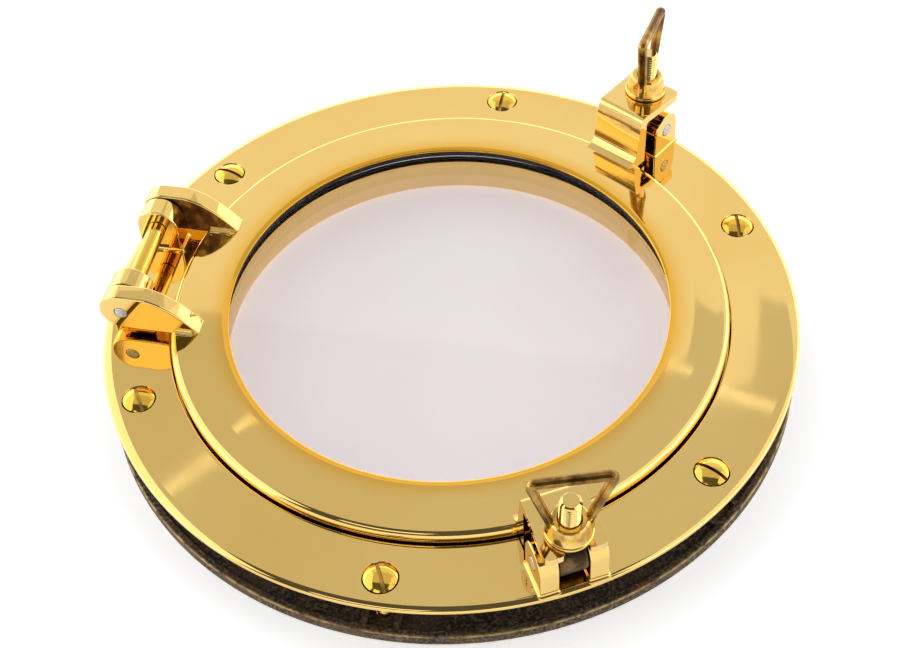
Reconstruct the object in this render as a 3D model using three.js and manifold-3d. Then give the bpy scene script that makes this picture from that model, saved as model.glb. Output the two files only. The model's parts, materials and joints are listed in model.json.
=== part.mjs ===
// An opening porthole in cast brass: a flanged frame and a clamp ring that grip the hull between them,
// and a glazed ring that swings on one hinge and is held shut by two swing-bolt dogs with wing nuts.
//
// Millimetres, +Z up. The porthole lies on its outboard face, with its cabin side up. The origin is on the
// axis of the glass, at the level of the outboard face. The hinge is at -X, and its pin runs along Y.

import * as THREE from 'three';
import { mergeVertices } from 'three/addons/utils/BufferGeometryUtils.js';
import Module from 'manifold-3d';

const wasm = await Module();
wasm.setup();

// ---- Driving dimensions ----

const GAP = 0.3; // left between neighbours that touch in the real fitting
const RING_SIDES = 60; // sides of every large turned ring

// frame
const FLANGE_R = 140;
const FLANGE_TOP = 24; // cabin face of the flange
const FLANGE_BACK = 21; // hull side of the flange
const RECESS_R = 113.6; // bore in the flange that the opening ring drops into
const SEAT_Z = 17.6; // ledge that the opening ring closes on
const SEAT_BACK = 13.4;
const NECK_R = 117.5; // largest part that passes through the hull
const SPIGOT_R = 97; // round the opening ring's skirt
const HULL_BORE_R = 92.5; // below the skirt: the clear bore through the hull
const HULL_BORE_TOP = 11.6;
const SPIGOT_OUT_R = 101;
const SPIGOT_END = 1;

// clamp ring on the outboard side of the hull
const CLAMP_R = 139.7;
const CLAMP_BORE = 101.6;
const CLAMP_FLOOR = 3; // thickness of its plate
const CLAMP_TOP = 5.2; // level of its rims, ribs and bosses, which bear on the hull
const RIB_SPACING = 10;

// flange screws
const SCREW_CIRCLE = 128.25;
const SCREW_AZIMUTHS = [30, 90, 150, 210, 270, 330];
const SLOT_TURNS = [102, 89, 165, 122, 116, 154]; // the way each screw's slot points, as the driver left it
const SHANK_R = 3;
const HEAD_R = 6.2;
const HEAD_RISE = 1.8; // of the domed head above the flange
const SCREW_END = 0.7;

// opening ring and glass
const RING_R = 112.4;
const RING_TOP = 28.7; // at its outer edge
const RING_CROWN = 29.5; // at its inner edge
const RING_BACK = 18.4;
const LIGHT_R = 88.7; // clear opening
const LIP_BACK = 28.2; // underside of the lip that reaches over the glass
const SKIRT_R = 95.8;
const SKIRT_END = 12.4;
const REBATE_R = 92.9;
const GLASS_R = 92.5;
const GLASS_Z = [18.9, 24.9];
const SEAL_R = [101.5, 106.5]; // groove for the main seal

// hinge
const HINGE_X = -126.5;
const HINGE_Z = 36.6;
const HINGE_PIN_R = 2.7;
const EAR_Y = [25, 32.4];
const KNUCKLE_Y = [15.5, 24.5];
const TUBE_R = 3.7;

// dogs: each is described with its radius along X, at the azimuth given here
const DOG_AZIMUTHS = [60.2, -60.5];
const DOG_R = 131; // radius of the pivot pin
const DOG_PIN_Z = 34.6;
const DOG_PIN_R = 2.6;
const LUG_Y = [5.7, 13];
const DOG_LEAN = 4.3; // the bolt, the nut and the fork they bear on all lean outwards about the pin
const FORK_TOP = 49.7; // this and the sizes below are taken before the lean
const FORK_UNDER = 46.2;
const FORK_END = 139.8;
const BOLT_R = 4;
const BOLT_END = 69.6;
const NUT_BASE = FORK_TOP + GAP;
const NUT_BASE_R = 8.8;
const NUT_TOP = 58.6;
const NUT_TOP_R = 6.2;
const LOOP_TOP = 82.6; // centre of the loop's cross bar
const LOOP_HALF = 14.5;
const LOOP_WIRE_R = 1.7;
const LOOP_TURNS = [19.7, 78.3]; // angle of each loop from its dog's radius

// ---- Materials ----

const brass = new THREE.MeshStandardMaterial({ color: 0xd9b25f, metalness: 1, roughness: 0.12 });
const castBrass = new THREE.MeshStandardMaterial({ color: 0x5b4a30, metalness: 0.8, roughness: 0.7 });
const loopBrass = new THREE.MeshStandardMaterial({ color: 0xa8803c, metalness: 1, roughness: 0.35 });
const steel = new THREE.MeshStandardMaterial({ color: 0xb9bcc0, metalness: 1, roughness: 0.3 });
const rubber = new THREE.MeshStandardMaterial({ color: 0x17181a, metalness: 0, roughness: 0.8 });
const glass = new THREE.MeshStandardMaterial({ color: 0xe8f2f0, metalness: 0, roughness: 0.05 });

// ---- Geometry helpers ----

const radians = (degrees) => THREE.MathUtils.degToRad(degrees);

function toSolid(geometry) {
  const bare = geometry.clone();
  bare.deleteAttribute('normal');
  bare.deleteAttribute('uv');
  const merged = mergeVertices(bare, 1e-4);
  const index = merged.index.array;
  const kept = [];
  for (let i = 0; i < index.length; i += 3) {
    const [a, b, c] = [index[i], index[i + 1], index[i + 2]];
    if (a !== b && b !== c && c !== a) kept.push(a, b, c);
  }
  const vertProperties = Float32Array.from(merged.attributes.position.array);
  return new wasm.Manifold(new wasm.Mesh({ numProp: 3, vertProperties, triVerts: Uint32Array.from(kept) }));
}

function toGeometry(solid) {
  const { vertProperties, triVerts } = solid.getMesh();
  const geometry = new THREE.BufferGeometry();
  geometry.setAttribute('position', new THREE.BufferAttribute(vertProperties, 3));
  geometry.setIndex(new THREE.BufferAttribute(triVerts, 1));
  return geometry;
}

const union = (solids) => solids.reduce((whole, piece) => whole.add(piece));
const cut = (solid, tools) => tools.reduce((left, tool) => left.subtract(tool), solid);

// A turned solid about Z. The outline is [radius, height] points, anticlockwise. It starts and ends on the
// axis, or else it is closed here.
function turned(outline, sides) {
  const onAxis = outline[0][0] === 0;
  const points = outline.map(([r, z]) => new THREE.Vector2(r, z));
  if (!onAxis) points.push(points[0].clone());
  return new THREE.LatheGeometry(points, sides).rotateX(Math.PI / 2);
}

// A rod along Z from z0 to z1.
function rod(radius, z0, z1, sides = 20) {
  const rodGeometry = new THREE.CylinderGeometry(radius, radius, z1 - z0, sides);
  return rodGeometry.rotateX(Math.PI / 2).translate(0, 0, (z0 + z1) / 2);
}

// A rod along Y, centred on y = 0.
const crossRod = (radius, length, x, z, sides = 20) =>
  new THREE.CylinderGeometry(radius, radius, length, sides).translate(x, 0, z);

// A plate whose outline lies in the XZ plane, from y0 to y1.
function sidePlate(shape, y0, y1, curveSegments = 8) {
  const plate = new THREE.ExtrudeGeometry(shape, { depth: y1 - y0, bevelEnabled: false, curveSegments });
  return plate.rotateX(Math.PI / 2).translate(0, y1, 0);
}

// Points on the dome of a raised head, from its rim inwards, measured from the rim's level.
function dome(radius, height, steps) {
  const ball = (radius ** 2 + height ** 2) / (2 * height);
  return Array.from({ length: steps }, (_, i) => {
    const r = radius * (1 - i / steps);
    return [r, Math.sqrt(ball ** 2 - r ** 2) - (ball - height)];
  });
}

// ---- Frame ----

function hingeKnuckle(side) {
  const half = 8.8;
  const shape = new THREE.Shape();
  shape.moveTo(HINGE_X - half, FLANGE_TOP - 3);
  shape.lineTo(HINGE_X + half, FLANGE_TOP - 3);
  shape.absarc(HINGE_X, HINGE_Z, half, 0, Math.PI, false);
  shape.closePath();
  const [near, far] = KNUCKLE_Y;
  return toSolid(side > 0 ? sidePlate(shape, near, far) : sidePlate(shape, -far, -near));
}

function dogLug(azimuth, side) {
  const half = 7.7;
  const shape = new THREE.Shape();
  shape.moveTo(DOG_R - half, FLANGE_TOP - 3);
  shape.lineTo(DOG_R + half, FLANGE_TOP - 3);
  shape.absarc(DOG_R, DOG_PIN_Z + 0.6, half, 0, Math.PI, false);
  shape.closePath();
  const [near, far] = LUG_Y;
  const plate = side > 0 ? sidePlate(shape, near, far) : sidePlate(shape, -far, -near);
  return toSolid(plate.rotateZ(radians(azimuth)));
}

function atScrew(geometry, azimuth) {
  return toSolid(geometry.translate(SCREW_CIRCLE, 0, 0).rotateZ(radians(azimuth)));
}

function mainFrame() {
  const outline = [
    [139.6, FLANGE_BACK], [FLANGE_R, FLANGE_BACK + 0.4], [FLANGE_R, 22.2], [138.8, 23.4],
    [136.2, FLANGE_TOP], [RECESS_R + 0.5, FLANGE_TOP], [RECESS_R, FLANGE_TOP - 0.5],
    [RECESS_R, SEAT_Z], [105, SEAT_Z], [104.6, SEAT_Z + 0.6], [103.4, SEAT_Z + 0.6], [103, SEAT_Z],
    [SPIGOT_R, SEAT_Z], [SPIGOT_R, HULL_BORE_TOP], [HULL_BORE_R, HULL_BORE_TOP],
    [HULL_BORE_R, SPIGOT_END], [SPIGOT_OUT_R, SPIGOT_END],
    [SPIGOT_OUT_R, SEAT_BACK], [NECK_R, SEAT_BACK], [NECK_R, FLANGE_BACK],
  ];
  const body = toSolid(turned(outline, RING_SIDES));
  const knuckles = [1, -1].map(hingeKnuckle);
  const lugs = DOG_AZIMUTHS.flatMap((azimuth) => [1, -1].map((side) => dogLug(azimuth, side)));
  const sink = [
    [0, 18], [SHANK_R + GAP, 18], [SHANK_R + GAP, 20.4],
    [HEAD_R + GAP, FLANGE_TOP - 0.4], [HEAD_R + GAP, FLANGE_TOP + 1], [0, FLANGE_TOP + 1],
  ];
  const sinks = SCREW_AZIMUTHS.map((azimuth) => atScrew(turned(sink, 16), azimuth));
  const hingeBore = toSolid(crossRod(HINGE_PIN_R + GAP, 60, HINGE_X, HINGE_Z));
  const dogBores = DOG_AZIMUTHS.map((azimuth) =>
    toSolid(crossRod(DOG_PIN_R + GAP, 40, DOG_R, DOG_PIN_Z, 16).rotateZ(radians(azimuth))));
  return cut(union([body, ...knuckles, ...lugs]), [...sinks, hingeBore, ...dogBores]);
}

// ---- Clamp ring ----

function rearClampRing() {
  const outline = [
    [CLAMP_BORE, 0], [138.9, 0], [CLAMP_R, 0.8], [CLAMP_R, CLAMP_TOP - 0.8], [138.8, CLAMP_TOP],
    [136.6, CLAMP_TOP], [136.6, CLAMP_FLOOR], [106, CLAMP_FLOOR], [106, CLAMP_TOP],
    [CLAMP_BORE, CLAMP_TOP],
  ];
  const body = toSolid(turned(outline, RING_SIDES));
  const bosses = SCREW_AZIMUTHS.map((azimuth) => atScrew(rod(6.6, CLAMP_FLOOR - 1, CLAMP_TOP), azimuth));
  const ribHeight = CLAMP_TOP - CLAMP_FLOOR + 1;
  const ribs = SCREW_AZIMUTHS.flatMap((azimuth) => [1, -1].map((side) => {
    const rib = new THREE.BoxGeometry(31.6, 2, ribHeight);
    rib.translate(121.3 - SCREW_CIRCLE, side * (RIB_SPACING / 2 + 1), CLAMP_TOP - ribHeight / 2);
    return atScrew(rib, azimuth);
  }));
  const holes = SCREW_AZIMUTHS.map((azimuth) => atScrew(rod(SHANK_R + GAP, -1, CLAMP_TOP + 1, 16), azimuth));
  return cut(union([body, ...bosses, ...ribs]), holes);
}

function flangeScrew(slotTurn) {
  const head = dome(HEAD_R, HEAD_RISE, 4).map(([r, z]) => [r, FLANGE_TOP + z]);
  const outline = [
    [0, SCREW_END], [SHANK_R - 0.6, SCREW_END], [SHANK_R, SCREW_END + 0.6], [SHANK_R, 20.4],
    [HEAD_R, FLANGE_TOP - GAP], ...head, [0, FLANGE_TOP + HEAD_RISE],
  ];
  const body = toSolid(turned(outline, 16));
  const slot = new THREE.BoxGeometry(14, 1.4, 2).translate(0, 0, FLANGE_TOP + HEAD_RISE - 0.2);
  return cut(body, [toSolid(slot.rotateZ(radians(slotTurn)))]);
}

// ---- Opening ring ----

function hingeEar(side) {
  const radius = 9.2;
  const shape = new THREE.Shape();
  shape.moveTo(-105, 24.8);
  shape.lineTo(-97, 24.8);
  shape.lineTo(-97, 29.7);
  shape.quadraticCurveTo(-106, 44, -117, 45.9);
  shape.lineTo(HINGE_X, HINGE_Z + radius);
  shape.absarc(HINGE_X, HINGE_Z, radius, Math.PI / 2, 1.5 * Math.PI, false);
  shape.lineTo(-105, 27.5);
  shape.closePath();
  const [near, far] = EAR_Y;
  return toSolid(side > 0 ? sidePlate(shape, near, far) : sidePlate(shape, -far, -near));
}

// Where a point of a dog's side view comes to once the dog leans outwards about its pivot pin.
function leanPoint(x, z) {
  const [dx, dz] = [x - DOG_R, z - DOG_PIN_Z];
  const [cos, sin] = [Math.cos(radians(DOG_LEAN)), Math.sin(radians(DOG_LEAN))];
  return [DOG_R + dx * cos + dz * sin, DOG_PIN_Z + dz * cos - dx * sin];
}

// The bracket that a dog bears on: a web at the ring's edge and a forked plate that points outwards, square
// to the leaning bolt.
function dogEar(azimuth) {
  const side = new THREE.Shape();
  side.moveTo(107.6, 25.3);
  side.lineTo(117.6, 25.3);
  side.lineTo(117.9, 45.7);
  side.quadraticCurveTo(...leanPoint(116.9, FORK_UNDER), ...leanPoint(118.4, FORK_UNDER));
  side.lineTo(...leanPoint(FORK_END, FORK_UNDER));
  side.lineTo(...leanPoint(FORK_END, FORK_TOP));
  side.lineTo(...leanPoint(114.8, FORK_TOP));
  side.quadraticCurveTo(...leanPoint(113.4, FORK_TOP), 114.4, 49.5);
  side.lineTo(111.4, 32.6);
  side.quadraticCurveTo(110.8, 29.6, 107.6, 28.7);
  side.closePath();

  const plan = new THREE.Shape();
  const [inner, outer] = [11.3, 12];
  const slot = BOLT_R + 0.6;
  plan.moveTo(100, -inner);
  plan.lineTo(114, -inner);
  plan.lineTo(FORK_END - 3, -outer);
  plan.quadraticCurveTo(FORK_END, -outer, FORK_END, -outer + 3);
  plan.lineTo(FORK_END, -slot);
  plan.lineTo(DOG_R, -slot);
  plan.absarc(DOG_R, 0, slot, 1.5 * Math.PI, Math.PI / 2, true);
  plan.lineTo(FORK_END, slot);
  plan.lineTo(FORK_END, outer - 3);
  plan.quadraticCurveTo(FORK_END, outer, FORK_END - 3, outer);
  plan.lineTo(114, inner);
  plan.lineTo(100, inner);
  plan.closePath();
  const prism = new THREE.ExtrudeGeometry(plan, { depth: 40, bevelEnabled: false, curveSegments: 5 });
  prism.translate(-DOG_R, 0, 20 - DOG_PIN_Z).rotateY(radians(DOG_LEAN)).translate(DOG_R, 0, DOG_PIN_Z);

  const bracket = toSolid(sidePlate(side, -20, 20, 4)).intersect(toSolid(prism));
  return bracket.rotate([0, 0, azimuth]);
}

function openingRing() {
  const outline = [
    [SKIRT_R, SKIRT_END], [SKIRT_R, RING_BACK], [SEAL_R[0], RING_BACK], [SEAL_R[0], 22.4],
    [SEAL_R[1], 22.4], [SEAL_R[1], RING_BACK], [RING_R - 0.5, RING_BACK], [RING_R, RING_BACK + 0.5],
    [RING_R, RING_TOP - 1.4], [RING_R - 1.4, RING_TOP], [91.2, RING_CROWN], [89.8, RING_CROWN - 0.2],
    [88.9, RING_CROWN - 0.6], [LIGHT_R, LIP_BACK], [REBATE_R, LIP_BACK], [REBATE_R, SKIRT_END],
  ];
  const body = toSolid(turned(outline, RING_SIDES));
  const whole = union([body, ...[1, -1].map(hingeEar), ...DOG_AZIMUTHS.map(dogEar)]);
  return cut(whole, [toSolid(crossRod(HINGE_PIN_R + GAP, 80, HINGE_X, HINGE_Z))]);
}

// A plain ring of rectangular section.
const band = (r0, r1, z0, z1) => toSolid(turned([[r0, z0], [r1, z0], [r1, z1], [r0, z1]], RING_SIDES));

const glassPane = () => toSolid(turned([[0, GLASS_Z[0]], [GLASS_R, GLASS_Z[0]], [GLASS_R, GLASS_Z[1]],
  [0, GLASS_Z[1]]], RING_SIDES));

// The ring screwed in behind the glass, with notches for a pin spanner.
function glassRetainingRing() {
  const ring = band(90.6, REBATE_R - GAP, SKIRT_END, 17.5);
  const notch = () => new THREE.BoxGeometry(8, 5, 2.4).translate(91, 0, SKIRT_END);
  return cut(ring, [45, 135, 225, 315].map((azimuth) => toSolid(notch().rotateZ(radians(azimuth)))));
}

// ---- Hinge ----

const hingePin = () => toSolid(crossRod(HINGE_PIN_R, 2 * EAR_Y[1] + 0.4, 0, 0));

function hingeSpacerTube() {
  const length = 2 * (KNUCKLE_Y[0] - GAP);
  return cut(toSolid(crossRod(TUBE_R, length, 0, 0, 24)), [toSolid(crossRod(HINGE_PIN_R + GAP, 40, 0, 0))]);
}

// ---- Dogs, each about its own pivot pin ----

const dogPivotPin = () => toSolid(crossRod(DOG_PIN_R, 2 * LUG_Y[1] + 0.4, 0, 0, 16));

function swingBolt() {
  const eye = toSolid(crossRod(7.3, 2 * (LUG_Y[0] - GAP), 0, 0, 28));
  const end = BOLT_END - DOG_PIN_Z;
  const outline = [[0, 2], [BOLT_R, 2], [BOLT_R, end - 1.2], [BOLT_R - 1.2, end], [0, end]];
  const shank = toSolid(turned(outline, 20));
  return cut(eye.add(shank), [toSolid(crossRod(DOG_PIN_R + GAP, 30, 0, 0, 16))]);
}

function nutLoop() {
  const corner = 2.4;
  const foot = [6, NUT_TOP - 3];
  const lean = (LOOP_HALF - foot[0]) / (LOOP_TOP - foot[1]);
  const at = (x, z) => new THREE.Vector3(x, 0, z);
  const path = new THREE.CurvePath();
  const turnIn = LOOP_TOP - corner;
  const strandTop = LOOP_HALF - lean * corner;
  path.add(new THREE.LineCurve3(at(-foot[0], foot[1]), at(-strandTop, turnIn)));
  path.add(new THREE.QuadraticBezierCurve3(
    at(-strandTop, turnIn), at(-LOOP_HALF, LOOP_TOP), at(-LOOP_HALF + corner, LOOP_TOP)));
  path.add(new THREE.LineCurve3(at(-LOOP_HALF + corner, LOOP_TOP), at(LOOP_HALF - corner, LOOP_TOP)));
  path.add(new THREE.QuadraticBezierCurve3(
    at(LOOP_HALF - corner, LOOP_TOP), at(LOOP_HALF, LOOP_TOP), at(strandTop, turnIn)));
  path.add(new THREE.LineCurve3(at(strandTop, turnIn), at(foot[0], foot[1])));
  const section = new THREE.Shape().absarc(0, 0, LOOP_WIRE_R, 0, 2 * Math.PI, false);
  return new THREE.ExtrudeGeometry(section, {
    extrudePath: path, steps: 44, curveSegments: 4, bevelEnabled: false,
  });
}

function wingNut() {
  const outline = [
    [0, NUT_BASE], [NUT_BASE_R, NUT_BASE], [NUT_BASE_R, NUT_BASE + 1.1], [8.4, NUT_BASE + 1.3],
    [7.7, 55.4], [NUT_TOP_R + 0.5, NUT_TOP - 0.8], [NUT_TOP_R - 0.6, NUT_TOP], [0, NUT_TOP],
  ];
  const whole = toSolid(turned(outline, 28)).add(toSolid(nutLoop()));
  return cut(whole, [toSolid(rod(BOLT_R + GAP, NUT_BASE - 1, 75, 20))]);
}

// ---- Assembly ----

const porthole = new THREE.Group();

function place(group, name, solid, material) {
  const mesh = new THREE.Mesh(toGeometry(solid), material);
  mesh.name = name;
  group.add(mesh);
  return mesh;
}

place(porthole, 'main_frame', mainFrame(), brass);
place(porthole, 'rear_clamp_ring', rearClampRing(), castBrass);

SCREW_AZIMUTHS.forEach((azimuth, i) => {
  const screw = place(porthole, `flange_screw_${i + 1}`, flangeScrew(SLOT_TURNS[i]), brass);
  screw.position.set(SCREW_CIRCLE * Math.cos(radians(azimuth)), SCREW_CIRCLE * Math.sin(radians(azimuth)), 0);
});

place(porthole, 'opening_ring', openingRing(), brass);
const gasket = band(LIGHT_R + 0.3, REBATE_R - GAP, GLASS_Z[1] + GAP, LIP_BACK - GAP);
place(porthole, 'glass_gasket', gasket, rubber);
place(porthole, 'glass_pane', glassPane(), glass);
place(porthole, 'glass_bedding_ring', band(91.4, REBATE_R - GAP, 17.8, GLASS_Z[0] - GAP), rubber);
place(porthole, 'glass_retaining_ring', glassRetainingRing(), brass);
place(porthole, 'main_seal', band(SEAL_R[0] + GAP, SEAL_R[1] - GAP, 18.5, 22.1), rubber);

const hinge = new THREE.Group();
hinge.position.set(HINGE_X, 0, HINGE_Z);
porthole.add(hinge);
place(hinge, 'hinge_pin', hingePin(), steel);
place(hinge, 'hinge_spacer_tube', hingeSpacerTube(), brass);

DOG_AZIMUTHS.forEach((azimuth, i) => {
  const dog = new THREE.Group();
  dog.rotation.z = radians(azimuth);
  porthole.add(dog);
  const pivot = new THREE.Group();
  pivot.position.set(DOG_R, 0, DOG_PIN_Z);
  pivot.rotation.y = radians(DOG_LEAN);
  dog.add(pivot);
  place(pivot, `dog_${i + 1}_pivot_pin`, dogPivotPin(), steel);
  place(pivot, `dog_${i + 1}_swing_bolt`, swingBolt(), brass);
  const nut = place(pivot, `dog_${i + 1}_wing_nut`, wingNut(), loopBrass);
  nut.position.z = -DOG_PIN_Z;
  nut.rotation.z = radians(LOOP_TURNS[i]);
});

export default porthole;
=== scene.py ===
"""Looks of the opening porthole: polished and rough cast brass, rubber and glass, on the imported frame.

Shapes are made in millimetres, in the part's own frame, and scaled to metres when a piece is complete.
"""

import json
import math

import bmesh
import bpy
from mathutils import Matrix, Vector


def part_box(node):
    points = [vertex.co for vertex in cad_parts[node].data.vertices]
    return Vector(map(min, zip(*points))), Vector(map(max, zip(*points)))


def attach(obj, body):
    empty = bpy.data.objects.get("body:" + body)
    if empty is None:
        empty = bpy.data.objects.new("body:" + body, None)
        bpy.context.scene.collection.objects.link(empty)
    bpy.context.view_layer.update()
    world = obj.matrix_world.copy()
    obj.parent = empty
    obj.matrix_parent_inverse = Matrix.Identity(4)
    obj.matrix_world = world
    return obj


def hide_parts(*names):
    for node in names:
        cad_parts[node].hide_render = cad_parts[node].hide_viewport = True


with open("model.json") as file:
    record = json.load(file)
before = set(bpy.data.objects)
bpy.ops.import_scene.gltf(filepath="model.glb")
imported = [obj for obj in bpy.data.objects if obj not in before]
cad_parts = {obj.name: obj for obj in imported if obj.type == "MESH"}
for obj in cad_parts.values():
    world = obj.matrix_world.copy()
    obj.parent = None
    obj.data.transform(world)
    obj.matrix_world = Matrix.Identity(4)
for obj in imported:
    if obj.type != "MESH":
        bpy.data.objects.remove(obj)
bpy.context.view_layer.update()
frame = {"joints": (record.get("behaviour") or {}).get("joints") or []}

MM = 0.001
JOINTS = {joint["name"]: joint for joint in frame["joints"]}

# ---- Driving dimensions, in millimetres ----

SEGMENTS = 256  # round every large turned ring
GAP = 0.3  # left between neighbours that touch in the real fitting
PIN_PROUD = 0.2  # how far each end of a pin stands out of its ear or lug

FLANGE_R = 140
FLANGE_TOP = 24  # cabin face of the flange
FLANGE_BACK = 21  # hull side of the flange
RECESS_R = 113.1  # 0.5 less than in the CAD, for a finer seam
SEAT_Z = 17.6  # ledge that the opening ring closes on
SEAT_BACK = 13.4
SEAT_RISE = 0.6  # of the raised bead that the main seal closes on
NECK_R = 117.5  # largest part that passes through the hull
SPIGOT_R = 97
HULL_BORE_R = 92.5
HULL_BORE_TOP = 11.6
SPIGOT_OUT_R = 101
SPIGOT_END = 1

CLAMP_R = 139.7
CLAMP_RIM_R = 136.6  # inner side of its outer rim
CLAMP_HUB_R = 106  # outer side of its inner rim
CLAMP_BORE = 101.6
CLAMP_FLOOR = 3
CLAMP_TOP = 5.2

RING_R = 112.4
RING_CROWN = 29.5  # at its inner edge
RING_BACK = 18.4
SKIRT_R = 95.8
SKIRT_END = 12.4
SEAL_R = (101.5, 106.5)  # groove for the main seal
SEAL_TOP = 22.4
LIGHT_R = 88.7  # clear opening
LIP_BACK = 28.2  # underside of the lip that reaches over the glass
REBATE_R = 92.9
GLASS_R = 92.5
GLASS_Z = (18.9, 24.9)
HOLDER_BORE = 90.6  # of the ring that holds the glass up
HOLDER_TOP = 17.6

SCREW_HEAD_R = 6.2
SCREW_HEAD_RISE = 1.8
SCREW_NECK_Z = 20.4  # where the countersunk head meets the shank
SCREW_RIM_Z = 23.6  # where the head is widest
SCREW_SHANK_R = 3
SCREW_SHANK_TOP = 19.2
SCREW_END = 0.7
SCREW_THREAD = (1.0, 0.35)  # pitch and depth
SLOT_TURNS = [102, 89, 165, 122, 116, 154]  # the way each screw's slot points

HINGE_PIN_R = 2.7
HINGE_EAR_R = 9.2
HINGE_KNUCKLE_R = 8.8
EAR_Y = (25, 32.4)
KNUCKLE_Y = (15.5, 24.5)
TUBE_R = 3.7

LUG_Y = (5.7, 13)
LUG_HALF = 7.7
DOG_PIN_R = 2.6
FORK_TOP = 15.1  # this and the heights below are measured along the swing bolt, from its pivot pin
FORK_UNDER = 11.6
FORK_END = 8.8  # out from the bolt's axis
EYE_R = 7.3
BOLT_R = 4
BOLT_END = 35
BOLT_THREAD = (1.25, 0.6)  # pitch and depth
NUT_BASE = 15.4
NUT_BASE_R = 8.8
NUT_TOP = 24
LOOP_TOP = 48  # centre of the loop's cross bar
LOOP_HALF = 14.5
LOOP_BAR = (1.7, 2.0)  # half its width and half its depth
LOOP_TURNS = [19.7, 78.3]  # angle of each loop from its dog's radius


# ---- Places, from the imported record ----


def in_mm(point):
    """A point of the frame, which is in metres, as a vector in millimetres."""
    return Vector(point) / MM


HINGE = in_mm(JOINTS["ring_open"]["pos_m"])


def dog_place(number):
    """Radius, height and azimuth of a dog's pivot pin, and the lean of its bolt from upright."""
    pin = in_mm(JOINTS[f"dog_{number}_swing"]["pos_m"])
    lean = math.acos(JOINTS[f"dog_{number}_nut_back_off"]["axis"][2])
    return math.hypot(pin.x, pin.y), pin.z, math.atan2(pin.y, pin.x), lean


def dog_matrix(number):
    """From a dog's own axes (X outwards, Z along its bolt, origin at the pivot pin) to the part's."""
    radius, height, azimuth, lean = dog_place(number)
    out = Matrix.Rotation(azimuth, 4, "Z") @ Matrix.Translation((radius, 0, height))
    return out @ Matrix.Rotation(lean, 4, "Y")


# ---- Outlines ----


def rounded(points, radius, steps=4):
    """The same closed outline with every corner rounded, except where the outline meets the axis."""
    out = []
    for i, point in enumerate(points):
        here = Vector(point)
        before = Vector(points[i - 1]) - here
        after = Vector(points[(i + 1) % len(points)]) - here
        angle = before.angle(after)
        if point[0] == 0 or angle > 3.0:
            out.append(tuple(here))
            continue
        reach = min(radius / math.tan(angle / 2), 0.45 * before.length, 0.45 * after.length)
        start = here + before.normalized() * reach
        end = here + after.normalized() * reach
        for step in range(steps + 1):
            t = step / steps
            out.append(tuple(start.lerp(here, t).lerp(here.lerp(end, t), t)))
    return out


def arc(centre, radius, start, end, steps):
    """Points of an arc, or of an ellipse's arc if radius is a pair; angles in degrees."""
    wide, high = radius if isinstance(radius, tuple) else (radius, radius)
    angles = [math.radians(start + (end - start) * i / steps) for i in range(steps + 1)]
    return [(centre[0] + wide * math.cos(a), centre[1] + high * math.sin(a)) for a in angles]


def curve(start, control, end, steps=8):
    """Points of a quadratic curve."""
    a, b, c = Vector(start), Vector(control), Vector(end)
    return [tuple(a.lerp(b, i / steps).lerp(b.lerp(c, i / steps), i / steps)) for i in range(steps + 1)]


def offset(outline, inset):
    """An anticlockwise outline moved inwards by inset."""
    out = []
    for i, point in enumerate(outline):
        here = Vector(point)
        before = (here - Vector(outline[i - 1])).normalized()
        after = (Vector(outline[(i + 1) % len(outline)]) - here).normalized()
        inward = Vector((-before.y - after.y, before.x + after.x))
        out.append(tuple(here + inward * inset / max(0.3, 1 + before.dot(after))))
    return out


# ---- Mesh builders ----


def make(name, bm):
    """An object with a clean copy of the mesh under construction, which is used up."""
    bmesh.ops.remove_doubles(bm, verts=bm.verts, dist=1e-4)
    bmesh.ops.recalc_face_normals(bm, faces=bm.faces)
    mesh = bpy.data.meshes.new(name)
    bm.to_mesh(mesh)
    bm.free()
    piece = bpy.data.objects.new(name, mesh)
    bpy.context.scene.collection.objects.link(piece)
    return piece


def remove(piece):
    mesh = piece.data
    bpy.data.objects.remove(piece)
    bpy.data.meshes.remove(mesh)


def moved(piece, matrix):
    piece.data.transform(matrix)
    return piece


def joined(name, pieces):
    """One object with the meshes of all the pieces, which are used up."""
    bm = bmesh.new()
    for piece in pieces:
        bm.from_mesh(piece.data)
        remove(piece)
    return make(name, bm)


def apply_modifiers(piece):
    evaluated = piece.evaluated_get(bpy.context.evaluated_depsgraph_get())
    mesh = bpy.data.meshes.new_from_object(evaluated)
    old = piece.data
    piece.modifiers.clear()
    piece.data = mesh
    bpy.data.meshes.remove(old)


def combined(piece, other, operation):
    """piece UNION, DIFFERENCE or INTERSECT other, which is used up."""
    boolean = piece.modifiers.new("combine", "BOOLEAN")
    boolean.operation = operation
    boolean.solver = "EXACT"
    boolean.object = other
    apply_modifiers(piece)
    remove(other)
    return piece


def turned(name, outline, segments=SEGMENTS):
    """A turned mesh about Z from a closed outline of (radius, height)."""
    bm = bmesh.new()
    columns = []
    for i in range(segments):
        turn = 2 * math.pi * i / segments
        columns.append([bm.verts.new((r * math.cos(turn), r * math.sin(turn), z)) for r, z in outline])
    for i, left in enumerate(columns):
        right = columns[(i + 1) % segments]
        for j in range(len(outline)):
            k = (j + 1) % len(outline)
            if outline[j][0] == 0 and outline[k][0] == 0:
                continue
            bm.faces.new((left[j], right[j], right[k], left[k]))
    bmesh.ops.dissolve_degenerate(bm, dist=1e-5, edges=bm.edges)
    return make(name, bm)


def stacked(name, sections):
    """A closed mesh through sections of equally many points, with flat ends."""
    bm = bmesh.new()
    rings = [[bm.verts.new(point) for point in section] for section in sections]
    bm.faces.new(rings[0])
    bm.faces.new(rings[-1])
    count = len(rings[0])
    for low, high in zip(rings, rings[1:]):
        for i in range(count):
            k = (i + 1) % count
            bm.faces.new((low[i], low[k], high[k], high[i]))
    return make(name, bm)


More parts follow.
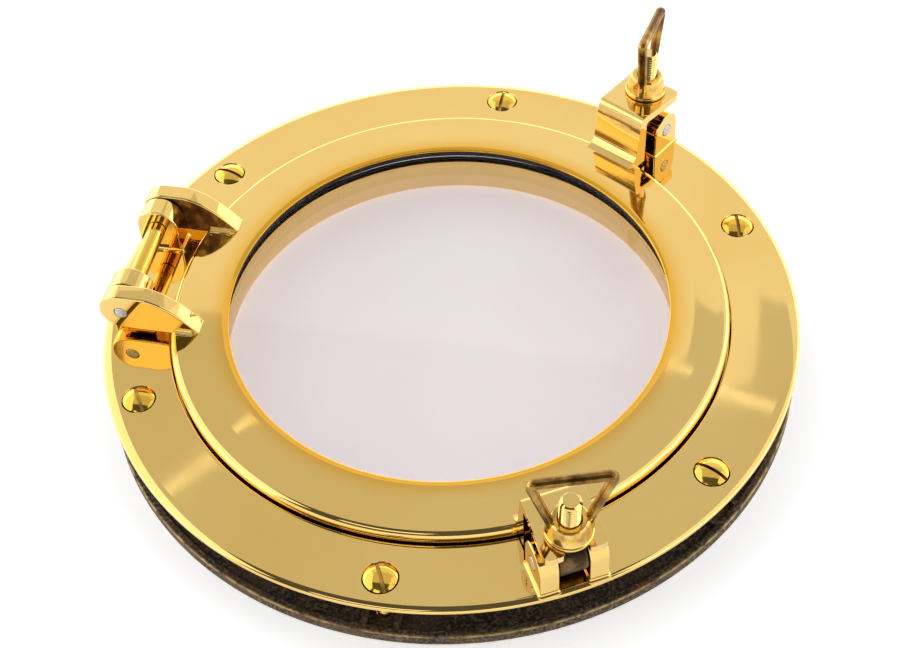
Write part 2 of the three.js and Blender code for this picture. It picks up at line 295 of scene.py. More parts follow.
def plate(name, outline, near, far, edge):
    """A plate whose outline lies in XZ, between two values of Y, with both rims rounded by edge."""
    steps = 4
    levels = []
    for i in range(steps + 1):
        angle = math.pi / 2 * i / steps
        levels.append((near + edge * (1 - math.sin(angle)), edge * (1 - math.cos(angle))))
    levels.reverse()
    levels += [(near + far - y, inset) for y, inset in reversed(levels)]
    return stacked(name, [[(x, y, z) for x, z in offset(outline, inset)] for y, inset in levels])


def tablet(half_x, half_y, corner, z):
    """A rounded rectangle at height z, as a section of a stacked mesh."""
    points = []
    for cx, cy, start in ((1, 1, 0), (-1, 1, 90), (-1, -1, 180), (1, -1, 270)):
        centre = (cx * (half_x - corner), cy * (half_y - corner))
        points += [(x, y, z) for x, y in arc(centre, corner, start, start + 90, 5)]
    return points


def standing_lug(name, half_x, half_y, base, centre_z, fillet):
    """A round-topped lug that stands on a face at height base and flares into it."""
    edge = 0.7
    top = centre_z + half_x
    heights = [base - 1] + [base + fillet * (1 - math.cos(math.radians(a))) for a in range(0, 91, 15)]
    heights += [centre_z] + [centre_z + half_x * math.sin(math.radians(a)) for a in range(6, 88, 6)]
    sections = []
    for z in heights:
        rise = min(max(z - base, 0), fillet)
        flare = fillet - math.sqrt(fillet**2 - (fillet - rise) ** 2)
        reach = math.sqrt(half_x**2 - max(z - centre_z, 0) ** 2)
        sink = max(edge - (top - z), 0)
        thin = edge - math.sqrt(max(edge**2 - sink**2, 0))
        corner = min(edge + flare, reach + flare - 0.01)
        sections.append(tablet(reach + flare, half_y - thin + flare, corner, z))
    return stacked(name, sections)


def rod(name, radius, low, high, edge=0.4):
    """A rod along Z with rounded ends."""
    outline = rounded([(0, low), (radius, low), (radius, high), (0, high)], edge)
    return turned(name, outline, 48)


def laid(piece):
    """Turns a piece made along Z to lie along Y."""
    return moved(piece, Matrix.Rotation(math.pi / 2, 4, "X"))


def box(name, size, centre):
    """A plain box, used only to cut with or to join to a casting."""
    bm = bmesh.new()
    bmesh.ops.create_cube(bm, size=1, matrix=Matrix.Diagonal((*size, 1)))
    return moved(make(name, bm), Matrix.Translation(centre))


def threaded(name, radius, low, high, pitch, depth):
    """A rod along Z with a helical thread and a chamfered upper end."""
    sides = 48
    rows_a_turn = 8
    chamfer = 1.1
    rows = math.ceil((high - low) / pitch * rows_a_turn)
    sections = []
    for i in range(rows + 1):
        z = low + (high - low) * i / rows
        section = []
        for k in range(sides):
            phase = ((z - low) / pitch - k / sides) % 1
            cut = depth * (1 - abs(2 * phase - 1))
            reach = min(radius - cut, radius - chamfer + (high - z))
            angle = 2 * math.pi * k / sides
            section.append((reach * math.cos(angle), reach * math.sin(angle), z))
        sections.append(section)
    return stacked(name, sections)


def swept(name, path, half_wide, half_deep):
    """An oval bar along a path in XZ; half_wide lies in that plane and half_deep along Y."""
    sides = 20
    sections = []
    for i, point in enumerate(path):
        here = Vector(point)
        ahead = Vector(path[min(i + 1, len(path) - 1)]) - Vector(path[max(i - 1, 0)])
        side = Vector((ahead.y, -ahead.x)).normalized()
        section = []
        for k in range(sides):
            angle = 2 * math.pi * k / sides
            spot = here + side * half_wide * math.cos(angle)
            section.append((spot.x, half_deep * math.sin(angle), spot.y))
        sections.append(section)
    return stacked(name, sections)


# ---- Materials ----


class Recipe:
    """One node material. Most helpers add a node and give back its useful output."""

    def __init__(self, name, metallic=0.0, roughness=0.5):
        self.material = bpy.data.materials.new(name)
        self.material.use_nodes = True
        self.tree = self.material.node_tree
        self.shader = self.tree.nodes["Principled BSDF"]
        self.shader.inputs["Metallic"].default_value = metallic
        self.shader.inputs["Roughness"].default_value = roughness
        self.place = self.node("ShaderNodeTexCoord", {}).outputs["Object"]

    def node(self, kind, inputs, **settings):
        made = self.tree.nodes.new(kind)
        for key, value in settings.items():
            setattr(made, key, value)
        for key, value in inputs.items():
            if isinstance(value, bpy.types.NodeSocket):
                self.tree.links.new(value, made.inputs[key])
            else:
                made.inputs[key].default_value = value
        return made

    def noise(self, scale, detail=3.0, stretch=(1, 1, 1), turn=(0, 0, 0)):
        """Noise that moves with the piece, about scale features to a metre."""
        mapped = self.node("ShaderNodeMapping", {"Vector": self.place, "Scale": stretch, "Rotation": turn})
        inputs = {"Vector": mapped.outputs[0], "Scale": scale, "Detail": detail}
        return self.node("ShaderNodeTexNoise", inputs).outputs["Fac"]

    def ramp(self, value, *stops):
        """stops are (position, grey or colour)."""
        made = self.node("ShaderNodeValToRGB", {"Fac": value})
        elements = made.color_ramp.elements
        while len(elements) < len(stops):
            elements.new(0.5)
        for element, (position, colour) in zip(elements, stops):
            element.position = position
            grey = isinstance(colour, (int, float))
            element.color = (colour, colour, colour, 1) if grey else (*colour, 1)
        return made.outputs["Color"]

    def math(self, operation, *values):
        return self.node("ShaderNodeMath", dict(enumerate(values)), operation=operation).outputs[0]

    def mix(self, share, a, b):
        """a where share is 0 and b where it is 1; each of them is a colour or another node's output."""
        a, b = (value if isinstance(value, bpy.types.NodeSocket) else (*value, 1) for value in (a, b))
        return self.node("ShaderNodeMix", {0: share, 6: a, 7: b}, data_type="RGBA").outputs[2]

    def fade(self, value, start, end, at_start, at_end):
        """Runs from at_start to at_end while value runs from start to end."""
        inputs = {0: value, 1: start, 2: end, 3: at_start, 4: at_end}
        return self.node("ShaderNodeMapRange", inputs).outputs[0]

    def height(self):
        """Height above the clamp ring's outboard face, in metres."""
        return self.node("ShaderNodeSeparateXYZ", {0: self.place}).outputs["Z"]

    def set(self, key, value):
        """Links a node's output to one of the shader's inputs."""
        self.tree.links.new(value, self.shader.inputs[key])

    def bump(self, *layers):
        """layers are (height, strength, depth in millimetres)."""
        normal = None
        for height, strength, depth in layers:
            inputs = {"Height": height, "Strength": strength, "Distance": depth * MM}
            if normal is not None:
                inputs["Normal"] = normal
            normal = self.node("ShaderNodeBump", inputs).outputs[0]
        self.set("Normal", normal)

    def radius(self):
        """Distance from the part's axis, in metres."""
        flat = self.node("ShaderNodeVectorMath", {0: self.place, 1: (1, 1, 0)}, operation="MULTIPLY")
        return self.node("ShaderNodeVectorMath", {0: flat.outputs[0]}, operation="LENGTH").outputs["Value"]

    def scratches(self):
        """Fine polishing marks in two directions."""
        one = self.noise(260, 2, stretch=(1, 14, 1), turn=(0, 0, 0.4))
        two = self.noise(260, 2, stretch=(13, 1, 1), turn=(0, 0, -0.7))
        return self.math("MULTIPLY", one, two)


def polished(name, light, deep, gloss=(0.025, 0.075), painted_lip_reflection=False):
    """Mirror-polished brass: a slow drift of tone, polishing marks, small pits and a faint waviness.

    The last argument, when true, paints an orange reflection into the colour towards the ring's inner lip,
    where brass reflects brass.
    """
    orange, stain = (0.80, 0.40, 0.025), (0.16, 0.08, 0.02)
    lip_starts, lip_ends = 0.0985, 0.0889  # metres from the part's axis
    recipe = Recipe(name, metallic=1.0)
    tone = recipe.ramp(recipe.noise(14, 4), (0.35, deep), (0.65, light))
    # Painted reflection: orange, as of brass reflected in brass, mixed into the colour towards the inner lip.
    if painted_lip_reflection:
        share = recipe.fade(recipe.radius(), lip_ends, lip_starts, 1.0, 0.0)
        tone = recipe.mix(recipe.math("POWER", share, 1.6), tone, orange)
    pits = recipe.ramp(recipe.noise(1500, 2), (0.0, 0.35), (0.27, 1.0))
    stained = recipe.mix(recipe.math("SUBTRACT", 1.0, pits), tone, stain)
    recipe.set("Base Color", stained)
    low, high = gloss
    recipe.set("Roughness", recipe.ramp(recipe.noise(70, 6), (0.3, low), (0.75, high)))
    recipe.bump(
        (recipe.noise(22, 1), 0.25, 0.12),
        (recipe.scratches(), 0.06, 0.02),
        (pits, 0.3, 0.02),
    )
    return recipe.material


def scored():
    """Polished brass with two dark scored bands across it, as the photo shows on dog 1's upright web."""
    bright, scratched = (0.87, 0.60, 0.20), (0.24, 0.14, 0.03)
    web_foot, web_top = 0.030, 0.050  # heights in metres
    recipe = Recipe("scored_brass", metallic=1.0)
    rise = recipe.fade(recipe.height(), web_foot, web_top, 0.0, 1.0)
    lower = recipe.ramp(rise, (0.10, 0.0), (0.16, 1.0), (0.24, 1.0), (0.32, 0.0))
    upper = recipe.ramp(rise, (0.60, 0.0), (0.68, 1.0), (0.76, 1.0), (0.84, 0.0))
    bands = recipe.math("ADD", lower, upper)
    streak = recipe.ramp(recipe.noise(120, 5, stretch=(0.3, 0.3, 3.0)), (0.40, 0.0), (0.50, 1.0))
    dark = recipe.math("MULTIPLY", bands, streak)
    recipe.set("Base Color", recipe.mix(dark, bright, scratched))
    recipe.set("Roughness", recipe.ramp(dark, (0.0, 0.06), (1.0, 0.4)))
    recipe.bump((dark, 0.3, 0.08))
    return recipe.material


def ear_side_and_shade():
    """The inner side of a hinge ear: brown at the pin, as unpolished brass darkened with painted shade
    between the ears; polished above the ring.
    """
    bright = (0.86, 0.59, 0.19)
    bright_ends, brown_starts = 0.1065, 0.1115  # metres from the part's axis
    recipe = Recipe("ear_side_brass", metallic=0.97)
    # Unpolished brass, darkened down to near black with painted shade.
    brown = recipe.ramp(
        recipe.noise(160, 6),
        (0.30, (0.03, 0.02, 0.015)), (0.50, (0.17, 0.09, 0.04)), (0.68, (0.50, 0.30, 0.10)),
    )
    reach = recipe.math("ADD", recipe.radius(), recipe.math("MULTIPLY", recipe.noise(90, 4), 0.006))
    share = recipe.fade(reach, bright_ends, brown_starts, 0.0, 1.0)
    recipe.set("Base Color", recipe.mix(share, bright, brown))
    recipe.set("Roughness", recipe.ramp(share, (0.0, 0.06), (1.0, 0.45)))
    recipe.bump((recipe.noise(700, 5), 0.3, 0.1))
    return recipe.material


def rough_cast():
    """Dark sand casting with a grain, brown blotches, and brass worn bright along the outermost edges."""
    blotch_brown, worn_brass = (0.17, 0.10, 0.05), (0.55, 0.36, 0.13)
    dull_inside, bright_outside = 0.1386, 0.1394  # metres from the part's axis
    dull_side, bright_edge = 0.0017, 0.0023  # metres up or down from the middle of the clamp ring's side
    recipe = Recipe("rough_cast_brass", metallic=0.55)
    grain = recipe.noise(900, 6)
    blotch = recipe.noise(60, 5)
    dark = recipe.ramp(
        grain,
        (0.34, (0.020, 0.015, 0.013)), (0.5, (0.085, 0.060, 0.042)), (0.66, (0.27, 0.19, 0.105)),
    )
    brown = recipe.mix(recipe.ramp(blotch, (0.4, 0.0), (0.7, 0.7)), dark, blotch_brown)
    outermost = recipe.fade(recipe.radius(), dull_inside, bright_outside, 0.0, 1.0)
    middle = CLAMP_TOP / 2 * MM
    off_middle = recipe.math("ABSOLUTE", recipe.math("SUBTRACT", recipe.height(), middle))
    rim = recipe.fade(off_middle, dull_side, bright_edge, 0.0, 1.0)
    edge = recipe.math("MULTIPLY", outermost, rim)
    worn = recipe.math("MULTIPLY", edge, recipe.ramp(recipe.noise(220, 4), (0.38, 0.1), (0.6, 0.9)))
    recipe.set("Base Color", recipe.mix(worn, brown, worn_brass))
    recipe.set("Roughness", recipe.ramp(worn, (0.0, 0.72), (1.0, 0.38)))
    recipe.bump((grain, 0.9, 0.35), (blotch, 0.4, 0.5))
    return recipe.material


def brown_cast(name, light, mid, dark, roughness):
    """Brass that isn't polished: mottled from dark to light, with a cast surface."""
    recipe = Recipe(name, metallic=0.95)
    mottle = recipe.noise(160, 6)
    recipe.set("Base Color", recipe.ramp(mottle, (0.30, dark), (0.50, mid), (0.68, light)))
    low, high = roughness
    recipe.set("Roughness", recipe.ramp(recipe.noise(300, 5), (0.3, low), (0.7, high)))
    recipe.bump((recipe.noise(700, 5), 0.35, 0.12), (recipe.noise(90, 3), 0.35, 0.4))
    return recipe.material


def steel():
    """Stainless pins: pale, with fine marks."""
    recipe = Recipe("stainless_pin", metallic=0.9)
    marks = recipe.noise(1400, 3)
    recipe.set("Base Color", recipe.ramp(marks, (0.35, (0.42, 0.40, 0.40)), (0.65, (0.70, 0.68, 0.68))))
    recipe.set("Roughness", recipe.ramp(recipe.noise(500, 3), (0.3, 0.28), (0.7, 0.5)))
    recipe.bump((marks, 0.3, 0.03))
    return recipe.material


def rubber():
    """Black rubber with a fine grain."""
    recipe = Recipe("black_rubber")
    grain = recipe.noise(1100, 5)
    recipe.set("Base Color", recipe.ramp(grain, (0.35, (0.007, 0.007, 0.008)), (0.7, (0.022, 0.021, 0.021))))
    recipe.set("Roughness", recipe.ramp(recipe.noise(200, 3), (0.3, 0.45), (0.7, 0.7)))
    recipe.bump((grain, 0.3, 0.05))
    return recipe.material


def glass():
    """Clear glass with a faint rosy cast and a few smears."""
    recipe = Recipe("clear_glass")
    recipe.shader.inputs["Transmission Weight"].default_value = 1.0
    recipe.shader.inputs["IOR"].default_value = 1.5
    smear = recipe.noise(24, 5)
    recipe.set("Base Color", recipe.ramp(smear, (0.3, (0.935, 0.872, 0.893)), (0.7, (0.97, 0.912, 0.932))))
    recipe.set("Roughness", recipe.ramp(recipe.noise(45, 6), (0.55, 0.0), (0.85, 0.03)))
    return recipe.material


def paper():
    """The pale sweep that the porthole lies on. It glows, and more so beyond the lights."""
    near, far = 1.2, 2.2  # metres from the part's axis
    recipe = Recipe("pale_floor", roughness=0.9)
    tone = recipe.ramp(recipe.noise(3, 3), (0.3, 0.86), (0.7, 0.89))
    recipe.set("Base Color", tone)
    recipe.set("Emission Color", tone)
    recipe.set("Emission Strength", recipe.fade(recipe.radius(), near, far, 0.5, 0.92))
    return recipe.material


# Light and deep tone, then the lowest and highest roughness if it isn't a mirror.
BRASS = polished("polished_brass", (0.87, 0.60, 0.20), (0.83, 0.55, 0.165))
# The swinging ring's brass, with a painted orange reflection towards its inner lip.
RING_BRASS = polished("ring_brass", (0.87, 0.60, 0.20), (0.83, 0.55, 0.165), painted_lip_reflection=True)
SCREW_BRASS = polished("screw_brass", (0.88, 0.54, 0.09), (0.82, 0.47, 0.06), (0.06, 0.16))
TUBE_BRASS = polished("tube_brass", (0.85, 0.54, 0.10), (0.78, 0.47, 0.07), (0.10, 0.22))
FILLET = polished("fillet_brass", (0.90, 0.64, 0.24), (0.86, 0.58, 0.18), (0.34, 0.48))
SCORED = scored()
ROUGH = rough_cast()
# Light, middle and dark tone, then the lowest and highest roughness.
LOOP = brown_cast(
    "cast_loop_brass", (0.50, 0.30, 0.065), (0.27, 0.14, 0.03), (0.09, 0.042, 0.013), (0.14, 0.30)
)
NUT = brown_cast("turned_nut_brass", (0.86, 0.58, 0.17), (0.74, 0.46, 0.11), (0.36, 0.20, 0.05), (0.08, 0.2))
# Painted shade: the bolt's eye sits between the lugs under the fork and is coloured brown to near black.
EYE_SHADE_BRASS = brown_cast(
    "eye_painted_shade_brass", (0.20, 0.12, 0.04), (0.06, 0.035, 0.015), (0.015, 0.01, 0.008), (0.25, 0.5)
)
# Painted shade: the screws' slots are rougher brass, made darker than the heads to stand for the shade inside
# them.
SLOT_SHADE_BRASS = brown_cast("slot_shade_brass", (0.72, 0.43, 0.10), (0.42, 0.24, 0.06), (0.16, 0.08, 0.03), (0.2, 0.4))
EAR_SIDE_AND_SHADE = ear_side_and_shade()
STEEL = steel()
RUBBER = rubber()
GLASS = glass()


# ---- Completing a piece ----


def complete(piece, body, node, slot, *materials):
    """Scales a piece to metres, gives it its materials and smooth shading, and sets it on the frame."""
    sharp = 38  # degrees between two faces from which their edge stays sharp
    moved(piece, Matrix.Scale(MM, 4))
    for material in materials:
        piece.data.materials.append(material)
    piece.data.shade_smooth()
    piece.data.set_sharp_from_angle(angle=math.radians(sharp))
    weighted = piece.modifiers.new("weighted_normals", "WEIGHTED_NORMAL")
    weighted.keep_sharp = True
    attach(piece, body)
    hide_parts(node)


def repaint(piece, index, chosen):
    """Gives material number index to the faces that chosen(centre, normal) picks, in millimetres."""
    for polygon in piece.data.polygons:
        if chosen(polygon.center, polygon.normal):
            polygon.material_index = index


# ---- The frame casting ----


def screw_places():
    """Centre of each flange screw in plan, from its CAD node."""
    places = []
    for i in range(1, 7):
        low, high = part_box(f"flange_screw_{i}")
        places.append(in_mm((low + high) / 2).to_2d())
    return places


def frame_casting():
    """Flange with a rounded rim, recess and seat, spigot, hinge knuckles and the dogs' lugs."""
    rim_wide, rim_high = 4.4, 1.6
    lug_fillet, knuckle_fillet = 0.9, 1.6
    outline = rounded(
        [
            (NECK_R, FLANGE_BACK), (FLANGE_R - 0.4, FLANGE_BACK), (FLANGE_R, FLANGE_BACK + 0.4),
            *arc((FLANGE_R - rim_wide, FLANGE_TOP - rim_high), (rim_wide, rim_high), 0, 90, 14),
            *curve((134, FLANGE_TOP), (124, FLANGE_TOP + 0.06), (RECESS_R, FLANGE_TOP - 0.16), 12),
            (RECESS_R, SEAT_Z), (105, SEAT_Z), (104.6, SEAT_Z + SEAT_RISE), (103.4, SEAT_Z + SEAT_RISE),
            (103, SEAT_Z), (SPIGOT_R, SEAT_Z), (SPIGOT_R, HULL_BORE_TOP), (HULL_BORE_R, HULL_BORE_TOP),
            (HULL_BORE_R, SPIGOT_END), (SPIGOT_OUT_R, SPIGOT_END), (SPIGOT_OUT_R, SEAT_BACK),
            (NECK_R, SEAT_BACK),
        ],
        0.5,
    )
    casting = turned("frame_casting", outline)
    lugs = []
    middle, half = (LUG_Y[0] + LUG_Y[1]) / 2, (LUG_Y[1] - LUG_Y[0]) / 2
    for number in (1, 2):
        radius, height, azimuth, _ = dog_place(number)
        for side in (1, -1):
            lug = standing_lug("lug", LUG_HALF, half, FLANGE_TOP, height + 0.6, lug_fillet)
            place = Matrix.Rotation(azimuth, 4, "Z") @ Matrix.Translation((radius, side * middle, 0))
            lugs.append(moved(lug, place))
    middle, half = (KNUCKLE_Y[0] + KNUCKLE_Y[1]) / 2, (KNUCKLE_Y[1] - KNUCKLE_Y[0]) / 2
    for side in (1, -1):
        knuckle = standing_lug("knuckle", HINGE_KNUCKLE_R, half, FLANGE_TOP, HINGE.z, knuckle_fillet)
        lugs.append(moved(knuckle, Matrix.Translation((HINGE.x, side * middle, 0))))
    casting = combined(casting, joined("lugs", lugs), "UNION")

    cutters = []
    hole, mouth = SCREW_SHANK_R + GAP, SCREW_HEAD_R + GAP
    for place in screw_places():
        sink = [(0, 18), (hole, 18), (hole, SCREW_NECK_Z), (mouth, SCREW_RIM_Z)]
        sink += [(mouth + 0.4, FLANGE_TOP + 0.1), (mouth + 0.7, FLANGE_TOP + 2), (0, FLANGE_TOP + 2)]
        sink = turned("sink", rounded(sink, 0.2, 3), 64)
        cutters.append(moved(sink, Matrix.Translation((place.x, place.y, 0))))
    pin = laid(rod("bore", HINGE_PIN_R + GAP, -28, 28, 0.1))
    cutters.append(moved(pin, Matrix.Translation(HINGE)))
    for number in (1, 2):
        radius, height, azimuth, _ = dog_place(number)
        place = Matrix.Rotation(azimuth, 4, "Z") @ Matrix.Translation((radius, 0, height))
        cutters.append(moved(laid(rod("bore", DOG_PIN_R + GAP, -20, 20, 0.1)), place))
    casting = combined(casting, joined("cutters", cutters), "DIFFERENCE")

    def unpolished(centre, normal):
        """The flange's hull side and the outside of the spigot."""
        reach = math.hypot(centre.x, centre.y)
        under_flange = reach > NECK_R - 0.6 and centre.z < FLANGE_BACK + 0.05
        return under_flange or (reach > SPIGOT_OUT_R - 0.1 and centre.z < SEAT_BACK + 0.4)

    repaint(casting, 1, unpolished)
    complete(casting, "frame", "main_frame", "polished_brass", BRASS, ROUGH)


# ---- The clamp ring and the flange screws ----


def clamp_ring_casting():
    """Plate with two rims, and two ribs and a hole for each screw."""
    rib_off, rib_wide = 6, 2  # sideways from a screw to a rib's middle, and the rib's thickness
    rib_from, rib_to, rib_foot = CLAMP_HUB_R - 0.5, CLAMP_RIM_R + 0.5, CLAMP_FLOOR - 1
    rib_size = (rib_to - rib_from, rib_wide, CLAMP_TOP - rib_foot)
    outline = rounded(
        [
            (CLAMP_BORE, 0), (CLAMP_R, 0), (CLAMP_R, CLAMP_TOP), (CLAMP_RIM_R, CLAMP_TOP),
            (CLAMP_RIM_R, CLAMP_FLOOR), (CLAMP_HUB_R, CLAMP_FLOOR), (CLAMP_HUB_R, CLAMP_TOP),
            (CLAMP_BORE, CLAMP_TOP),
        ],
        0.7,
    )
    ring = turned("clamp_ring_casting", outline)
    ribs = []
    holes = []
    for place in screw_places():
        turn = Matrix.Rotation(math.atan2(place.y, place.x), 4, "Z")
        for side in (1, -1):
            middle = ((rib_from + rib_to) / 2, side * rib_off, (rib_foot + CLAMP_TOP) / 2)
            ribs.append(moved(box("rib", rib_size, middle), turn))
        hole = rod("hole", SCREW_SHANK_R + GAP, -1, 8, 0.1)
        holes.append(moved(hole, Matrix.Translation((place.x, place.y, 0))))
    ring = combined(ring, joined("ribs", ribs), "UNION")
    ring = combined(ring, joined("holes", holes), "DIFFERENCE")
    complete(ring, "frame", "rear_clamp_ring", "rough_cast_brass", ROUGH)


def flange_screw(index, place):
    """A raised countersunk screw with a slot, threaded below its head."""
    slot_wide, slot_deep = 1.4, 2.2
    head_top = FLANGE_TOP + SCREW_HEAD_RISE
    steps = 24
    outline = [(0, 19), (SCREW_SHANK_R, 19), (SCREW_SHANK_R, SCREW_NECK_Z), (SCREW_HEAD_R - 0.1, SCREW_RIM_Z)]
    for step in range(steps):
        share = 1 - step / steps
        outline.append((SCREW_HEAD_R * share, FLANGE_TOP + SCREW_HEAD_RISE * (1 - share**2.5)))
    screw = turned("head", [*outline, (0, head_top)], 96)
    slot = box("slot", (14, slot_wide, 4), (0, 0, head_top + 2 - slot_deep))
    slot = moved(slot, Matrix.Rotation(math.radians(SLOT_TURNS[index]), 4, "Z"))
    screw = combined(screw, slot, "DIFFERENCE")
    shank = threaded("shank", SCREW_SHANK_R, 0, SCREW_SHANK_TOP - SCREW_END, *SCREW_THREAD)
    moved(shank, Matrix.Diagonal((1, 1, -1, 1)))
    moved(shank, Matrix.Translation((0, 0, SCREW_SHANK_TOP)))
    screw = joined(f"screw_{index + 1}", [screw, shank])

    def in_slot(centre, normal):
        """The slot's floor and its two walls, which get the painted shade."""
        inside_head = centre.to_2d().length < SCREW_HEAD_R - 0.3 and centre.z > FLANGE_TOP - 1
        return inside_head and (abs(normal.z) < 0.3 or centre.z < FLANGE_TOP)

    repaint(screw, 1, in_slot)
    moved(screw, Matrix.Translation((place.x, place.y, 0)))
    complete(screw, "frame", f"flange_screw_{index + 1}", "polished_brass", SCREW_BRASS, SLOT_SHADE_BRASS)


# ---- The swinging ring ----


def hinge_foot():
    """The fillet round the bottom of a hinge ear, cut off short of the ring's outer edge."""
    wide, high = 3.0, 2.4
    near_glass, near_pin = -96.4, -109.5  # where it ends, along X
    middle, half = (EAR_Y[0] + EAR_Y[1]) / 2, (EAR_Y[1] - EAR_Y[0]) / 2
    sections = []
    for angle in [0, *range(0, 91, 10)]:
        rise = high * (1 - math.cos(math.radians(angle)))
        flare = wide * (1 - math.sin(math.radians(angle)))
        z = RING_CROWN - 0.55 + rise if sections else RING_CROWN - 2.5
        inner = near_glass - 0.75 * rise + 0.6 * flare
        half_length = (inner - near_pin) / 2
        outline = tablet(half_length, half + flare - 0.05, 0.9 + flare, z)
        sections.append([(x + inner - half_length, y + middle, z) for x, y, z in outline])
    within_ring = turned("within_ring", [(0, 20), (RING_R - 2.5, 20), (RING_R - 2.5, 40), (0, 40)], 128)
    return combined(stacked("foot", sections), within_ring, "INTERSECT")


def hinge_ear(side):
    """A plate from the ring's top to the hinge pin, and its fillet; side is 1 or -1 along Y."""
    x, z = HINGE.x, HINGE.z
    outline = [(-105, 27.2), (-102, 26.4), (-98, 24.4), (-93.4, 24.4), (-93, 28.2)]
    outline += curve((-95.5, 29.9), (-106, 44), (-117, 45.7), 14)
    outline += arc((x, z), HINGE_EAR_R, 90, 270, 22)
    near, far = EAR_Y
    ear = plate("ear", outline, near, far, 0.9)
    ear = combined(ear, hinge_foot(), "UNION")
    return ear if side > 0 else moved(ear, Matrix.Diagonal((1, -1, 1, 1)))


def dog_ear(number):
    """The web at the ring's edge and the forked plate that the dog's nut bears on."""
    radius, height, azimuth, lean = dog_place(number)

    def leaned(x, z):
        return (
            radius + x * math.cos(lean) + z * math.sin(lean),
            height + z * math.cos(lean) - x * math.sin(lean),
        )

    side = [(106, 26), (117.6, 25.6), (117.9, 44.5)]
    side += curve((117.9, 45.4), leaned(-14.1, FORK_UNDER), leaned(-12.2, FORK_UNDER), 5)
    side += [leaned(FORK_END, FORK_UNDER), leaned(FORK_END, FORK_TOP)]
    side += curve(leaned(-15.3, FORK_TOP), leaned(-17.5, FORK_TOP), (114.2, 48.6), 8)
    side += curve((111.6, 33.4), (110.6, 29.2), (105.4, 28.9), 8)
    bracket = plate("bracket", side, -20, 20, 0)

    slot, tip = BOLT_R + 0.6, 2.6
    inner, outer = 11.3, 12  # half widths at the ring and at the fork's end
    plan = [(-40, -inner), (-17, -inner)]
    plan += curve((FORK_END - tip, -outer), (FORK_END, -outer), (FORK_END, -outer + tip), 6)
    plan += curve((FORK_END, -slot - 1.4), (FORK_END, -slot), (FORK_END - 1.4, -slot), 4)
    plan += [(math.sin(a) * -slot, -slot * math.cos(a)) for a in (math.pi * i / 16 for i in range(17))]
    plan += curve((FORK_END - 1.4, slot), (FORK_END, slot), (FORK_END, slot + 1.4), 4)
    plan += curve((FORK_END, outer - tip), (FORK_END, outer), (FORK_END - tip, outer), 6)
    plan += [(-17, inner), (-40, inner)]
    prism = stacked("prism", [[(x, y, z) for x, y in plan] for z in (-25, 30)])
    place = Matrix.Translation((radius, 0, height)) @ Matrix.Rotation(lean, 4, "Y")
    bracket = combined(bracket, moved(prism, place), "INTERSECT")

    bevel = bracket.modifiers.new("rounded_edges", "BEVEL")
    bevel.width = 0.6
    bevel.segments = 3
    bevel.limit_method = "ANGLE"
    bevel.angle_limit = math.radians(40)
    apply_modifiers(bracket)
    return moved(bracket, Matrix.Rotation(azimuth, 4, "Z"))


def swing_ring():
    """The ring that carries the glass: skirt, seal groove, crowned top and lip, ears and brackets."""
    shoulder, lip_turn, lip_edge = 109.4, 91.8, 0.7
    lip_round = (lip_turn - LIGHT_R, RING_CROWN - LIP_BACK - lip_edge)
    outline = rounded(
        [
            (SKIRT_R, SKIRT_END), (SKIRT_R, RING_BACK), (SEAL_R[0], RING_BACK), (SEAL_R[0], SEAL_TOP),
            (SEAL_R[1], SEAL_TOP), (SEAL_R[1], RING_BACK), (RING_R, RING_BACK),
            *arc((shoulder, 25.7), (RING_R - shoulder, 3.1), 0, 84, 12),
            *curve((108.6, 28.82), (101, RING_CROWN), (93, RING_CROWN), 10),
            *arc((lip_turn, LIP_BACK + lip_edge), lip_round, 90, 180, 14)[1:],
            (LIGHT_R, LIP_BACK), (REBATE_R, LIP_BACK), (REBATE_R, SKIRT_END),
        ],
        0.35,
    )
    ring = turned("swing_ring", outline)
    brackets = joined("brackets", [hinge_ear(1), hinge_ear(-1), dog_ear(1), dog_ear(2)])
    ring = combined(ring, brackets, "UNION")
    pin = moved(laid(rod("bore", HINGE_PIN_R + GAP, -40, 40, 0.1)), Matrix.Translation(HINGE))
    ring = combined(ring, pin, "DIFFERENCE")

    def inside_of_ear(centre, normal):
        """The side of each ear that faces the other, which gets the painted shade at the pin."""
        return abs(abs(centre.y) - EAR_Y[0]) < 0.05 and abs(normal.y) > 0.9 and centre.x < -90

    def dog_web(centre, normal):
        """The sloping faces of the dogs' brackets that look up and towards the ring's middle."""
        return normal.z > 0 and normal.to_2d().dot(-centre.to_2d().normalized()) > 0.85 and centre.z > 32

    def fillet_of_ear(centre, normal):
        """The sloping faces round the bottom of each ear."""
        beside = abs(abs(centre.y) - sum(EAR_Y) / 2) < 7.5 and -112 < centre.x < -90
        return beside and RING_CROWN - 0.3 < centre.z < RING_CROWN + 2.6 and 0.12 < abs(normal.y) < 0.97

    repaint(ring, 1, inside_of_ear)
    repaint(ring, 2, dog_web)
    repaint(ring, 3, fillet_of_ear)
    complete(ring, "ring", "opening_ring", "polished_brass", RING_BRASS, EAR_SIDE_AND_SHADE, SCORED, FILLET)


def band(name, inner, outer, low, high, edge=0.4):
    """A turned ring of rectangular section with rounded edges."""
    return turned(name, rounded([(inner, low), (outer, low), (outer, high), (inner, high)], edge))


